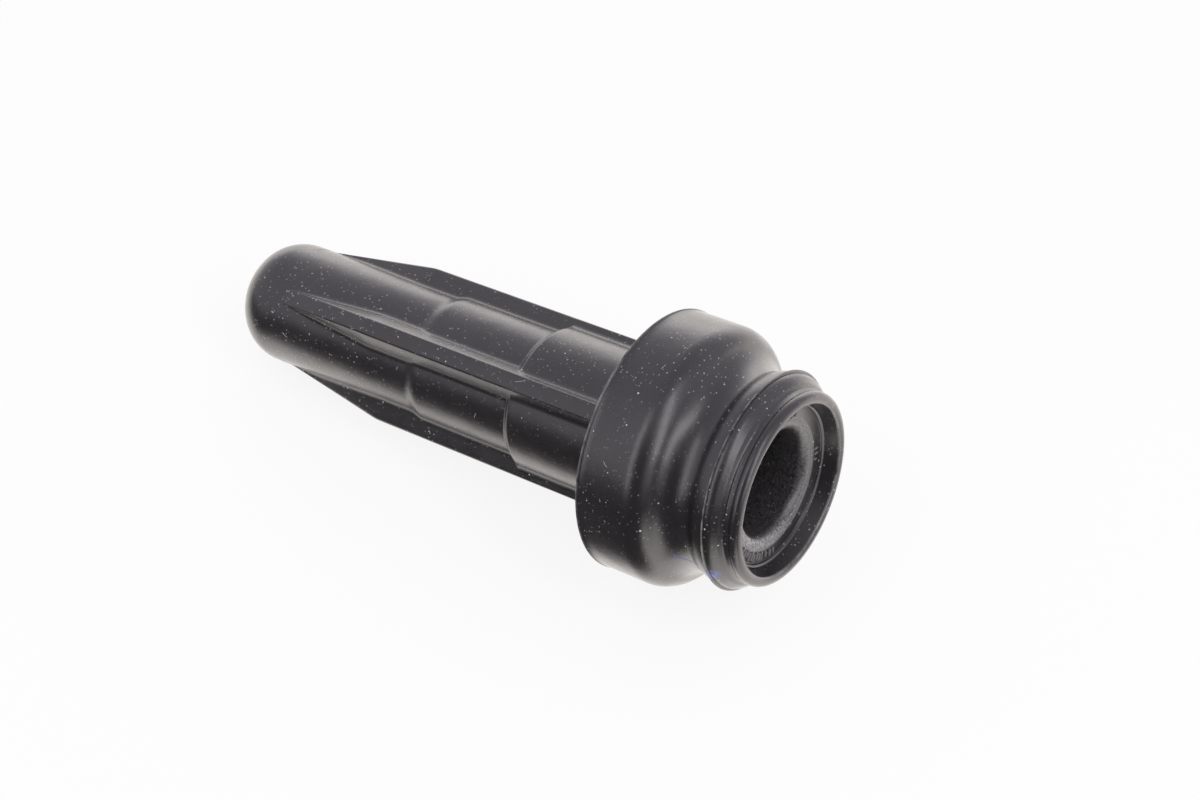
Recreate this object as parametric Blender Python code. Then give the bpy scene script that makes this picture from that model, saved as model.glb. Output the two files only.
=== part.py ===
"""Spark plug cap: one rubber moulding, lying on its side as it comes to rest.

Frame: metres, +Z up, the cap's axis in the XZ plane with the coil mouth towards +X.
The origin is under the middle of the cap, on the surface that it lies on.

The cap's one skin is a loft. A closed chain of cross-sections starts on the plug end,
runs along the ribbed tube, under the skirt, over the collar, round the mouth's lip and
back through the bore. Along the axis, x is 0 at the skirt's rim and grows towards the
mouth. Lengths below are in millimetres.
"""

import math

import bmesh
import bpy
from mathutils import Matrix, Vector

MM = 0.001

# Tube: three round stages that grow towards the collar
STAGE_RADII = (9.1, 9.5, 10.55)
FIRST_STEP_AT = -37.7
FIRST_STEP_LENGTH = 2.9
SECOND_STEP_AT = -19.3
SECOND_STEP_LENGTH = 1.9

# Plug end: a domed edge round the hole for the spark plug's insulator
TUBE_REACH = 71.0
PLUG_END_ROUNDING = 6.7
PLUG_BORE_RADIUS = 5.1
PLUG_BORE_LIP = 0.8
PLUG_BORE_DEPTH = 37.0

# Four ribs that centre the tube in the plug well
RIB_CIRCLE_RADIUS = 11.88
RIB_TOP_WIDTH = 2.3
RIB_CORNER = 0.35
RIB_DRAFT = math.radians(14.0)
RIB_FILLET = 0.9
RIB_START = -61.6
RIB_RAMP_LENGTH = 17.6
RIB_NOSE_HEIGHT = 0.3
RIB_BEND = 0.8
RIB_COUNT = 4
RIB_TURN = math.radians(4.0)

# Skirt: a cup over the tube that closes the plug well
RIM_RADIUS = 18.5
RIM_FLASH = 0.14
RIM_FLASH_LENGTH = 0.35
SKIRT_WALL = 1.9
SKIRT_DEPTH = 6.8
SKIRT_CORNER = 0.8
SKIRT_DRAFT = math.radians(2.5)
SHOULDER_AT = 7.1
SHOULDER_ROUNDING = 3.7
SHOULDER_TURN = math.radians(62.0)

# Neck, ring and its flash
NECK_RADIUS = 14.1
NECK_LENGTH = 1.5
RING_RADIUS = 15.3
RING_FLANK = 1.6
RING_WIDTH = 2.1
FLASH_WIDTH = 0.3
FLASH_HEIGHT = 0.16
GROOVE_RADIUS = 13.2
GROOVE_FLAT = 0.35

# Mouth: rounded lip, shallow recess and the edge of the coil tower's socket
LIP_RADIUS = 12.65
LIP_ROUNDING = 0.95
LIP_EDGE_RADIUS = 12.1
LIP_EDGE_DROP = 0.22
LIP_TURN = math.radians(100.0)
WALL_DRAFT = math.radians(17.0)
RECESS_DEPTH = 2.65
SEAM_RING_WIDTH = 0.35
SEAM_RING_HEIGHT = 0.3
SOCKET_RADIUS = 7.46
SOCKET_ROUNDING = 1.5
SOCKET_DEPTH = 29.0

# Passage between the two sockets
PASSAGE_RADIUS = 3.9
SOCKET_CONE = math.radians(50.0)

# Points round half a rib's share of a section
RIB_POINTS = 5
CORE_POINTS = 3

RUBBER_COLOUR = (0.022, 0.022, 0.025, 1.0)
RUBBER_ROUGHNESS = 0.42

HALF_SHARE = math.pi / RIB_COUNT
HALF_POINTS = RIB_POINTS + CORE_POINTS
SECTION_POINTS = 2 * RIB_COUNT * HALF_POINTS


def rib_half_outline(core, rib):
    """Angle and radius of the points from a rib's middle to halfway to the next rib."""
    height = rib - core
    half_top = RIB_TOP_WIDTH / 2
    # A low rib limits the height of its corner and of its fillet
    corner = min(RIB_CORNER, 0.3 * height)
    fillet = min(RIB_FILLET, 0.5 * height)
    slope = math.tan(RIB_DRAFT)
    base = half_top + height * slope

    lateral = [half_top - RIB_CORNER, half_top + corner * slope, base - fillet * slope]
    radius = [rib, rib - corner, core + fillet]
    # The fillet's middle lies on the curve from the flank to the core
    lateral.append(0.25 * lateral[2] + 0.5 * base + 0.25 * (base + RIB_FILLET))
    radius.append(core + 0.25 * fillet)
    lateral.append(base + RIB_FILLET)
    radius.append(core)

    points = [(math.asin(s / r), r) for s, r in zip(lateral, radius)]
    last = points[-1][0]
    step = (HALF_SHARE - last) / (CORE_POINTS + 0.5)
    points += [(last + step * i, core) for i in range(1, CORE_POINTS + 1)]
    return points


def share_middles(turn):
    """Angle of each rib's middle from straight up, towards +Y."""
    return [HALF_SHARE * (2 * i + 1) + turn for i in range(RIB_COUNT)]


def ribbed_section(x, core, rib):
    """Section of the tube: a round core with ribs."""
    half = rib_half_outline(core, rib)
    section = []
    for middle in share_middles(RIB_TURN):
        section += [(x, middle - angle, radius) for angle, radius in reversed(half)]
        section += [(x, middle + angle, radius) for angle, radius in half]
    return section


def round_section(x, radius):
    """Round section with as many points, spaced evenly and flat at the bottom."""
    step = HALF_SHARE / HALF_POINTS
    section = []
    for middle in share_middles(0.0):
        for i in range(-HALF_POINTS, HALF_POINTS):
            section.append((x, middle + (i + 0.5) * step, radius))
    return section


def arc(centre_x, centre_radius, rounding, start, end, count):
    """Round sections along an arc of the profile; its angles count up from the mouth side."""
    sections = []
    for i in range(count):
        angle = start + (end - start) * i / (count - 1)
        x = centre_x + rounding * math.cos(angle)
        sections.append(round_section(x, centre_radius + rounding * math.sin(angle)))
    return sections


def quarter(start_x, start_radius, length, rise, count):
    """Round sections on a quarter ellipse that leaves along the axis and ends upright."""
    sections = []
    for i in range(count):
        angle = math.pi / 2 * i / (count - 1)
        x = start_x + length * math.sin(angle)
        sections.append(round_section(x, start_radius + rise * (1 - math.cos(angle))))
    return sections


def plug_end():
    """Centre of the plug end's edge arc, and the angle where it meets the bore's lip."""
    centre_radius = STAGE_RADII[0] - PLUG_END_ROUNDING
    reach = PLUG_BORE_RADIUS + PLUG_BORE_LIP - centre_radius
    lip_angle = math.asin(reach / PLUG_END_ROUNDING)
    centre_x = -TUBE_REACH + PLUG_END_ROUNDING * math.cos(lip_angle)
    return centre_x, centre_radius, lip_angle


def plug_end_sections():
    """Domed end, from the bore's lip out to the tube."""
    centre_x, centre_radius, lip_angle = plug_end()
    return arc(centre_x, centre_radius, PLUG_END_ROUNDING, math.pi - lip_angle, math.pi / 2, 6)


def step_sections(start, length, low, high):
    """Soft step of the core from one stage to the next, under full ribs."""
    eased = ((0.0, 0.0), (0.3, 0.16), (0.7, 0.84), (1.0, 1.0))
    return [
        ribbed_section(start + length * along, low + (high - low) * share, RIB_CIRCLE_RADIUS)
        for along, share in eased
    ]


def tube_sections():
    """Ribbed tube, from the start of the ribs to the floor of the skirt."""
    first, second, third = STAGE_RADII
    slope = (RIB_CIRCLE_RADIUS - first) / RIB_RAMP_LENGTH
    ramp_end = RIB_START + RIB_RAMP_LENGTH
    nose_x = RIB_START + RIB_NOSE_HEIGHT / slope
    # The bend's curve starts this far below the full height, and its middle a quarter of it
    bend_drop = RIB_BEND * slope

    sections = [round_section(RIB_START, first)]
    sections.append(ribbed_section(nose_x, first, first + RIB_NOSE_HEIGHT))
    sections.append(ribbed_section(ramp_end - RIB_BEND, first, RIB_CIRCLE_RADIUS - bend_drop))
    sections.append(ribbed_section(ramp_end, first, RIB_CIRCLE_RADIUS - bend_drop / 4))
    sections.append(ribbed_section(ramp_end + RIB_BEND, first, RIB_CIRCLE_RADIUS))
    sections += step_sections(FIRST_STEP_AT, FIRST_STEP_LENGTH, first, second)
    sections += step_sections(SECOND_STEP_AT, SECOND_STEP_LENGTH, second, third)
    sections.append(ribbed_section(SKIRT_DEPTH, third, RIB_CIRCLE_RADIUS))
    return sections


def skirt_sections():
    """Inside of the skirt from its floor, the rim with its thin flash, and the outside."""
    inner_rim = RIM_RADIUS - SKIRT_WALL
    inner_floor = inner_rim - SKIRT_DEPTH * math.tan(SKIRT_DRAFT)
    corner_radius = inner_floor - SKIRT_CORNER
    corner_x = SKIRT_DEPTH - SKIRT_CORNER

    sections = arc(corner_x, corner_radius, SKIRT_CORNER, 0.0, math.pi / 2, 4)
    sections.append(round_section(RIM_FLASH_LENGTH, inner_rim))
    sections.append(round_section(0.0, inner_rim + RIM_FLASH))
    sections.append(round_section(0.0, RIM_RADIUS + RIM_FLASH))
    sections.append(round_section(RIM_FLASH_LENGTH, RIM_RADIUS + RIM_FLASH))
    sections.append(round_section(2 * RIM_FLASH_LENGTH, RIM_RADIUS))
    return sections


def collar_profile():
    """Neck's rounding, and the places of the neck, flank, ring and end of the groove.

    Each place along the axis is worked out from the one before it.
    """
    shoulder_end_x = SHOULDER_AT + SHOULDER_ROUNDING * math.sin(SHOULDER_TURN)
    shoulder_drop = SHOULDER_ROUNDING * (1 - math.cos(SHOULDER_TURN))
    neck_drop = RIM_RADIUS - shoulder_drop - NECK_RADIUS
    neck_rounding = neck_drop / (1 - math.cos(SHOULDER_TURN))
    neck_x = shoulder_end_x + neck_rounding * math.sin(SHOULDER_TURN)
    flank_x = neck_x + NECK_LENGTH
    ring_x = flank_x + RING_FLANK
    groove_x = ring_x + FLASH_WIDTH + RING_WIDTH
    return neck_rounding, neck_x, flank_x, ring_x, groove_x + GROOVE_FLAT


def collar_sections():
    """Outside of the collar: shoulder, neck, and ring with its flash, down to the groove."""
    neck_rounding, neck_x, flank_x, ring_x, _ = collar_profile()
    upright = math.pi / 2
    shoulder_radius = RIM_RADIUS - SHOULDER_ROUNDING
    neck_centre = NECK_RADIUS + neck_rounding

    sections = arc(
        SHOULDER_AT, shoulder_radius, SHOULDER_ROUNDING, upright, upright - SHOULDER_TURN, 6
    )
    sections += arc(
        neck_x, neck_centre, neck_rounding, -upright - SHOULDER_TURN, -upright, 6
    )[1:]
    sections += quarter(flank_x, NECK_RADIUS, RING_FLANK, RING_RADIUS - NECK_RADIUS, 4)
    sections.append(round_section(ring_x, RING_RADIUS + FLASH_HEIGHT))
    flash_end = ring_x + FLASH_WIDTH
    sections.append(round_section(flash_end, RING_RADIUS + FLASH_HEIGHT))
    sections += quarter(flash_end, RING_RADIUS, RING_WIDTH, GROOVE_RADIUS - RING_RADIUS, 6)
    return sections


def lip_arc():
    """Centre of the lip's arc along the axis, and the angle where it leaves the groove."""
    rise = math.asin((GROOVE_RADIUS - LIP_RADIUS) / LIP_ROUNDING)
    return collar_profile()[-1] + LIP_ROUNDING * math.cos(rise), math.pi - rise


def recess_floor():
    """Place of the recess floor along the axis."""
    return lip_arc()[0] + LIP_ROUNDING - RECESS_DEPTH


def mouth_sections():
    """Lip, recess wall, seam ring, flat floor and the socket's rounded edge."""
    lip_x, leave = lip_arc()
    floor_x = recess_floor()
    wall_top = lip_x + LIP_ROUNDING - LIP_EDGE_DROP
    wall_foot = floor_x + SEAM_RING_HEIGHT
    foot_radius = LIP_EDGE_RADIUS - (wall_top - wall_foot) * math.tan(WALL_DRAFT)
    floor_radius = foot_radius - SEAM_RING_WIDTH
    socket_edge = SOCKET_RADIUS + SOCKET_ROUNDING

    sections = arc(lip_x, LIP_RADIUS, LIP_ROUNDING, leave, math.pi / 2 - LIP_TURN, 7)
    sections.append(round_section(wall_top, LIP_EDGE_RADIUS))
    sections.append(round_section(wall_foot, foot_radius))
    sections.append(round_section(wall_foot, (foot_radius + floor_radius) / 2))
    sections.append(round_section(floor_x, floor_radius))
    edge_x = floor_x - SOCKET_ROUNDING
    sections += arc(edge_x, socket_edge, SOCKET_ROUNDING, 0.0, -math.pi / 2, 5)
    return sections


def bore_sections():
    """Coil tower's socket, passage and plug's socket, from the mouth to the plug end."""
    socket_x = recess_floor() - SOCKET_DEPTH
    cone = math.tan(SOCKET_CONE)
    plug_x = -TUBE_REACH + PLUG_BORE_DEPTH
    lip_x = -TUBE_REACH + PLUG_BORE_LIP
    lip_radius = PLUG_BORE_RADIUS + PLUG_BORE_LIP

    sections = [round_section(socket_x, SOCKET_RADIUS)]
    passage_start = socket_x - (SOCKET_RADIUS - PASSAGE_RADIUS) / cone
    sections.append(round_section(passage_start, PASSAGE_RADIUS))
    passage_end = plug_x + (PLUG_BORE_RADIUS - PASSAGE_RADIUS) / cone
    sections.append(round_section(passage_end, PASSAGE_RADIUS))
    sections.append(round_section(plug_x, PLUG_BORE_RADIUS))
    for i in range(4):
        angle = i * math.pi / 8
        x = lip_x - PLUG_BORE_LIP * math.sin(angle)
        sections.append(round_section(x, lip_radius - PLUG_BORE_LIP * math.cos(angle)))
    return sections


def loft(name, sections):
    """Closed skin through a chain of sections, whose last one joins the first."""
    bm = bmesh.new()
    rings = []
    for section in sections:
        rings.append([
            bm.verts.new(Vector((x, r * math.sin(a), r * math.cos(a))) * MM)
            for x, a, r in section
        ])
    for ring, following in zip(rings, rings[1:] + rings[:1]):
        for i in range(SECTION_POINTS):
            j = (i + 1) % SECTION_POINTS
            bm.faces.new((ring[i], ring[j], following[j], following[i]))
    bmesh.ops.recalc_face_normals(bm, faces=bm.faces)
    mesh = bpy.data.meshes.new(name)
    bm.to_mesh(mesh)
    bm.free()
    mesh.shade_smooth()
    mesh.set_sharp_from_angle(angle=math.radians(35.0))
    return mesh


def rest_tilt():
    """Angle at which the cap lies: the line that touches the rim and the plug end's edge."""
    centre_x, centre_radius, _ = plug_end()
    rise = RIM_RADIUS + RIM_FLASH - centre_radius
    slope = math.atan2(rise, -centre_x)
    return slope - math.asin(PLUG_END_ROUNDING / math.hypot(rise, centre_x))


def lay_down(mesh):
    """Tilt the cap to its rest and put the origin under the middle of its box."""
    mesh.transform(Matrix.Rotation(-rest_tilt(), 4, 'Y'))
    corners = [vertex.co for vertex in mesh.vertices]
    low = Vector(min(c[i] for c in corners) for i in range(3))
    high = Vector(max(c[i] for c in corners) for i in range(3))
    middle = (low + high) / 2
    mesh.transform(Matrix.Translation((-middle.x, -middle.y, -low.z)))


def rubber():
    """Satin black moulded rubber."""
    material = bpy.data.materials.new("black_rubber")
    material.use_nodes = True
    shader = material.node_tree.nodes["Principled BSDF"]
    shader.inputs["Base Color"].default_value = RUBBER_COLOUR
    shader.inputs["Roughness"].default_value = RUBBER_ROUGHNESS
    shader.inputs["Metallic"].default_value = 0.0
    return material


def build():
    """Make the cap in an emptied scene."""
    for item in list(bpy.data.objects):
        bpy.data.objects.remove(item, do_unlink=True)
    sections = plug_end_sections() + tube_sections() + skirt_sections()
    sections += collar_sections() + mouth_sections() + bore_sections()
    mesh = loft("cap_moulding", sections)
    lay_down(mesh)
    mesh.materials.append(rubber())
    cap = bpy.data.objects.new("cap_moulding", mesh)
    bpy.context.scene.collection.objects.link(cap)


build()
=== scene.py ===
"""Looks of the spark plug cap, laid out as a Blender add-on and run as a script.

The cap is one black rubber moulding that lies on its side. Its skin is one closed surface on
a grid: a chain of profile curves along the axis, and the ribs' cross-section around it. The
marks, lint and pen line on it are strands laid on that skin.
"""

import math

import bmesh
import bpy
import numpy as np
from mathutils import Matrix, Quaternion, Vector


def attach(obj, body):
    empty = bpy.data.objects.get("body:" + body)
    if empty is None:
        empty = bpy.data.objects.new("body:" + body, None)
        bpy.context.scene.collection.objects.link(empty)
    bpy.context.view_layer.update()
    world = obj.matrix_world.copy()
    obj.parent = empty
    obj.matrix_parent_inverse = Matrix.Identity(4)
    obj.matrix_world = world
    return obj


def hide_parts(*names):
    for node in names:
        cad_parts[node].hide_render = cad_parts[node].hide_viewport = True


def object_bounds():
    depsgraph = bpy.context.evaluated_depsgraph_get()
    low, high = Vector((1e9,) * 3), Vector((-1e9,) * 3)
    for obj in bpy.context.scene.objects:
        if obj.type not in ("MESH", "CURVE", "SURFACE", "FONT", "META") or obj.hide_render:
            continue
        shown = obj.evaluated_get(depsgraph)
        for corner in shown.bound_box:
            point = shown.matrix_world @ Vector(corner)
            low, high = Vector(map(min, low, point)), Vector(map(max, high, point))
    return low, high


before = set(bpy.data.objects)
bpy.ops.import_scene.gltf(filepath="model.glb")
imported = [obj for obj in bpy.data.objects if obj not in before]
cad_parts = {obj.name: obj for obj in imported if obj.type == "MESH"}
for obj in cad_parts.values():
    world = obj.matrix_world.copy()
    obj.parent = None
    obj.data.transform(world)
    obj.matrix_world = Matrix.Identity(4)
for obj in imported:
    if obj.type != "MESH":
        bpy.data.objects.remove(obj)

bl_info = {
    "name": "Spark Plug Cap",
    "version": (1, 0, 0),
    "blender": (4, 5, 0),
    "location": "3D View > Sidebar > Plug Cap",
    "description": "Builds the moulded rubber cap, its marks and its studio",
    "category": "Object",
}

CAD_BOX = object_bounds()
MM = 0.001
NODE = "cap_moulding"
BODY = "root"
SLOT = "black_rubber"

RIB_COUNT = 4
HALF_SHARE = math.pi / RIB_COUNT
UPRIGHT = math.pi / 2
# Points from a rib's middle to halfway to the next rib: top, corner, flank, fillet, core
HALF_POINTS = (4, 6, 5, 9, 10)
# Points of the tube's stretches along the axis, from the ribs' start to the skirt's floor
TUBE_POINTS = (5, 16, 6, 8, 7, 4, 13, 6, 13, 9)
# Shares of a low rib's height that its corner and its fillet take at most
CORNER_SHARE = 0.25
FILLET_SHARE = 0.9
# Share of its width that a rib has at its very tip
TIP_WIDTH = 0.05
# Radius just outside the ribs at which the skirt's floor starts
SKIRT_FLOOR_START = 12.0 * MM
# Skirt's edge, in heights of its flash: the groove's start, the start, top and end of the
# second flash, the groove's depth and the second flash's height
GROOVE_START, SECOND_START, SECOND_TOP, SECOND_END = 2.2, 3.0, 3.6, 5.2
GROOVE_DEPTH, SECOND_HEIGHT = 0.3, 0.5
# Shares of the ring flash's width at which its level top starts and ends
FLASH_TOP = (0.3, 0.6)
# How far inside the wall's foot the seam ring meets the recess floor, in its widths
SEAM_FOOT = 1.2
# How deep the socket's rounding starts, in heights of the fine step around it
STEP_FOOT = 1.2
# Faces that meet at more than this angle keep a sharp edge
SHARP_ANGLE = math.radians(50.0)
MERGE_DISTANCE = 1e-7
# Part of a rounding by which a point on the recess floor may seem to stand over it
FLOOR_SLACK = 0.001

# Room: radiance of its walls, its ceiling, the backdrop behind the cap and the camera's side
WALL_LEVEL = 0.86
CEILING_LEVEL = 0.66
BACKDROP_LEVEL = 3.15
DIM_LEVEL = 0.13
# Heights (sine of the elevation) between which the walls turn into the ceiling, and between
# which the dim side fades in
CEILING_START = (0.6, 0.95)
DIM_TOP = (0.99, 0.52)
# Directions of the backdrop and the dim side, and the angles from them, in degrees, within
# which they are full and past which there is nothing of them
BACKDROP = (-0.46, 0.84, -0.29)
BACKDROP_FADE = (5.0, 51.0)
DIM_SIDE = (0.28, -0.96, 0.0)
DIM_FADE = (24.0, 40.0)
# Half the side of the square floor
FLOOR_HALF = 3.0
# Floor as the rubber mirrors it: bright under and behind the cap, dim in front of the edge
TABLE_LEVEL = 1.8
FRONT_LEVEL = 0.12
TABLE_EDGE = (-0.023, -0.015)
# Long bright spot of the floor in front of the mouth: middle, turn, half axes, the shares of
# them at which it ends and is full, and radiance
FLOOR_SPOT = (0.062, -0.028, 0.0)
SPOT_TURN = math.radians(-35.0)
SPOT_SIZE = (0.034, 0.013, 1.0)
SPOT_FADE = (1.0, 0.35)
SPOT_LEVEL = 1.9
# Tints of the room, of the soft boxes, and of the bright floor and backdrop
COOL_WHITE = (1.01, 0.975, 1.05, 1.0)
LAMP_WHITE = (1.03, 0.985, 1.01)
WARM_WHITE = (1.045, 1.0, 0.965, 1.0)
PURE_WHITE = (1.0, 1.0, 1.0, 1.0)
# The camera sees the floor's own white by this share, and light and shadow on it by the rest
WHITE_SHARE = 0.87
# Name, azimuth, elevation, roll, distance, width, height and radiance of each soft box
LAMPS = (
    ("right_box", 101.5, 40.0, -8.0, 0.6, 0.186, 0.64, 2.9),
    ("left_box", -168.5, 33.0, 9.5, 0.6, 0.193, 0.74, 1.8),
)

# Cloudy patterns on the rubber: scale, detail and roughness of the noise, and its values
# where the pattern starts and where it is full
PATTERNS = {
    "haze": (140.0, 4.0, 0.6, 0.45, 0.75), "patch": (75.0, 2.0, 0.5, 0.38, 0.66),
    "film": (5200.0, 3.0, 0.7, 0.58, 0.72), "powder": (3300.0, 5.0, 0.75, 0.36, 0.62),
    "edge_highlight": (700.0, 3.0, 0.6, 0.3, 0.7), "ink": (1500.0, 4.0, 0.7, 0.35, 0.6),
}
# Dust specks: cells in a metre, and the largest speck and its soft edge in cells
SPECKS = {
    "finest": (2600.0, 0.40, 0.10), "fine": (1000.0, 0.135, 0.02),
    "coarse": (300.0, 0.066, 0.009),
}
# Share of its own colour that each layer on the rubber shows at most
COVER = {
    "haze": 0.010, "finest": 0.5, "fine": 0.85, "dots": 0.9, "film": 0.03, "powder": 0.95,
    "edge_highlight": 0.34, "ink": 0.8,
}
# Share of the finest dust that lies everywhere, and what the patches and the plug end add
DUST_BASE, DUST_PATCHES, DUST_END = 0.25, 0.75, 0.4
# Places along the lying cap between which the dust grows towards the plug end, in metres
DUSTY_END = (0.0, -0.04)
# Roughness of the rubber: the least, what the noise adds with its scale, detail and
# roughness, and what dust adds
ROUGH_LEAST, ROUGH_CHANGE, ROUGH_DUST = 0.22, 0.14, 0.35
ROUGH_NOISE = (320.0, 4.0, 0.6)
RUBBER_IOR = 1.7
# Relief of the rubber: scale, detail and roughness of grain, ripples and waves, and their
# heights in millimetres; then the fine lines around the cap, with their own three scales
RELIEF = (
    (6500.0, 2.0, 0.6, 0.013), (420.0, 3.0, 0.5, 0.035), (130.0, 1.0, 0.5, 0.11),
)
LINES_SCALE = (9000.0, 160.0, 160.0)
LINES_HEIGHT, DOTS_HEIGHT, POWDER_HEIGHT = 0.004, 0.008, 0.04
# Powder on the socket's edge: the side on which most lies, in degrees about the axis, and
# the share of it on the far side
POWDER_SIDE = -120.0
POWDER_FAR = 0.04
# Powder's depth below the recess floor, in roundings of the socket's edge: the thickest
# powder, its spread, how it falls off down the bore and how far it goes; then how far around
# the socket it reaches, also in roundings, and its share in the bore
POWDER_PLACE, POWDER_SPREAD, POWDER_FADE, POWDER_DEEPEST = 0.2, 0.22, 7.0, 12.0
POWDER_AROUND = 1.3
POWDER_BORE = 0.16
# Painted highlights, light lines along the rim, the ring's flash and the lip's inner edge, in
# millimetres: half widths along the axis, and how far over the rim's and the ring's radius the
# first two start and how far from the lip's inner edge the third one reaches
EDGE_HIGHLIGHT_WIDTHS = (0.22, 0.08, 0.1)
EDGE_HIGHLIGHT_REACH = (-0.3, 0.1, 0.12)
# Strength of the lip's painted highlight line, and middle of the ring flash's top in shares of its
# width
LIP_HIGHLIGHT = 0.7
FLASH_MIDDLE = 0.45
# Raised ticks on the recess floor: angle, inner and outer radius (degrees, mm)
TICKS = (
    (-166.0, 9.5, 10.6), (-161.0, 9.4, 10.7), (-155.0, 9.5, 10.5),
    (-149.0, 9.3, 10.8), (-145.5, 9.4, 10.9), (-141.5, 9.3, 10.6), (-137.0, 9.5, 10.9),
    (-133.5, 9.3, 10.8), (-129.0, 9.4, 10.9), (-124.5, 9.3, 10.5), (-120.5, 9.5, 10.8),
    (-116.0, 9.4, 10.7),
    (12.0, 9.5, 10.6), (17.5, 9.3, 10.8), (23.0, 9.4, 10.5), (28.5, 9.3, 10.8), (34.0, 9.5, 10.6),
    (96.0, 9.2, 10.1), (101.0, 9.2, 10.2), (106.0, 9.2, 10.0),
)
# Pen line on the neck: place and angle (mm, degrees)
PEN_LINE = ((11.97, -104.4), (12.4, -108.2), (12.99, -110.0), (13.8, -110.2), (14.63, -111.4))
# Middle of the pen's smudge on the ring: place and angle; then the distances from it at
# which the smudge ends and is full, in millimetres
SMUDGE = (18.15, -108.5)
SMUDGE_FADE = (1.5, 0.2)
# Lint: place, angle, slant, length and radius of each fibre (mm and degrees); then how far
# it bows for its length, and how high it lies over the rubber (mm)
FIBRES = (
    (-16.3, -37.0, 25.0, 1.8, 11.9), (-24.0, -79.0, 70.0, 1.0, 9.55),
    (4.0, -58.0, -40.0, 1.0, 18.5), (-45.0, -20.0, 15.0, 1.1, 9.15),
    (6.0, -12.0, 80.0, 1.0, 18.5), (-60.0, -75.0, -30.0, 1.1, 9.15),
)
FIBRE_CURL = 0.35
FIBRE_LIFT = 0.03
# Points along a tick, the pen line and a fibre, and sides of their sections
TICK_POINTS, PEN_POINTS, FIBRE_POINTS = 9, 24, 12
STRAND_SIDES = 8
# Half width and height of a tick, the pen line and a fibre (mm)
TICK_SIZE = (0.11, 0.32)
PEN_SIZE = (0.11, 0.02)
FIBRE_SIZE = (0.028, 0.028)
# Their finishes: roughness, scale of the change of tone, and height of the relief (mm);
# then the detail and roughness of the noise that changes the tone, and the darkest share
TICK_FINISH = (0.3, 2000.0, 0.01)
PEN_FINISH = (0.5, 3000.0, 0.004)
FIBRE_FINISH = (0.8, 3000.0, 0.004)
TONE_NOISE = (3.0, 0.6)
DARKER_TONE = 0.6

PHOTO_WIDTH = 1200
FOCAL_PIXELS = 2250.0
SENSOR_WIDTH = 36.0
CAMERA_PLACE = (0.139789, -0.177677, 0.240027)
CAMERA_TARGET = (0.015307, -0.001313, 0.022194)
CAMERA_CLIP = (0.01, 20.0)


def length(name, description, millimetres):
    """A length that a user may change, kept in metres."""
    return bpy.props.FloatProperty(
        name=name, description=description, default=millimetres * MM, unit='LENGTH', precision=5)


def angle(name, description, degrees):
    """An angle that a user may change, kept in radians."""
    return bpy.props.FloatProperty(
        name=name, description=description, default=math.radians(degrees), subtype='ANGLE')


def colour(name, description, value):
    """A colour that a user may change."""
    return bpy.props.FloatVectorProperty(
        name=name, description=description, default=value, size=3, min=0.0, max=1.0,
        subtype='COLOR')


class TubeSizes(bpy.types.PropertyGroup):
    """Sizes of the ribbed tube. Places are along the cap's axis from the skirt's rim."""

    first_radius: length("First stage", "Core radius next to the plug end", 9.1)
    second_radius: length("Second stage", "Core radius in the middle", 9.5)
    third_radius: length("Third stage", "Core radius next to the skirt", 10.55)
    first_step: length("First step", "Place where the first step starts", -37.7)
    first_step_length: length("First step length", "Length of the first step", 2.9)
    second_step: length("Second step", "Place where the second step starts", -19.3)
    second_step_length: length("Second step length", "Length of the second step", 1.9)
    reach: length("Tube reach", "Distance from the rim to the plug end", 71.0)
    end_rounding: length("End rounding", "Radius of the plug end's edge", 6.7)
    rib_circle: length("Rib circle", "Radius over the ribs", 11.88)
    rib_width: length("Rib width", "Width of a rib's top", 2.25)
    rib_corner: length("Rib corner", "Rounding of a rib's top edges", 0.42)
    rib_fillet: length("Rib fillet", "Rounding between a rib and the core", 0.85)
    third_fillet: length("Third fillet", "Rounding between a rib and the third stage", 1.2)
    rib_draft: angle("Rib draft", "Slope of a rib's flanks", 28.0)
    rib_start: length("Rib start", "Place where the ribs rise from the core", -61.6)
    rib_ramp: length("Rib ramp", "Length of the ribs' ramps", 17.6)
    rib_bend: length("Rib bend", "Half the length of the bend at a ramp's end", 0.8)
    rib_nose: length("Rib nose", "Length of the round start of a rib", 1.6)
    rib_turn: angle("Rib turn", "Turn of the ribs about the axis as the cap lies", 5.2)


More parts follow.
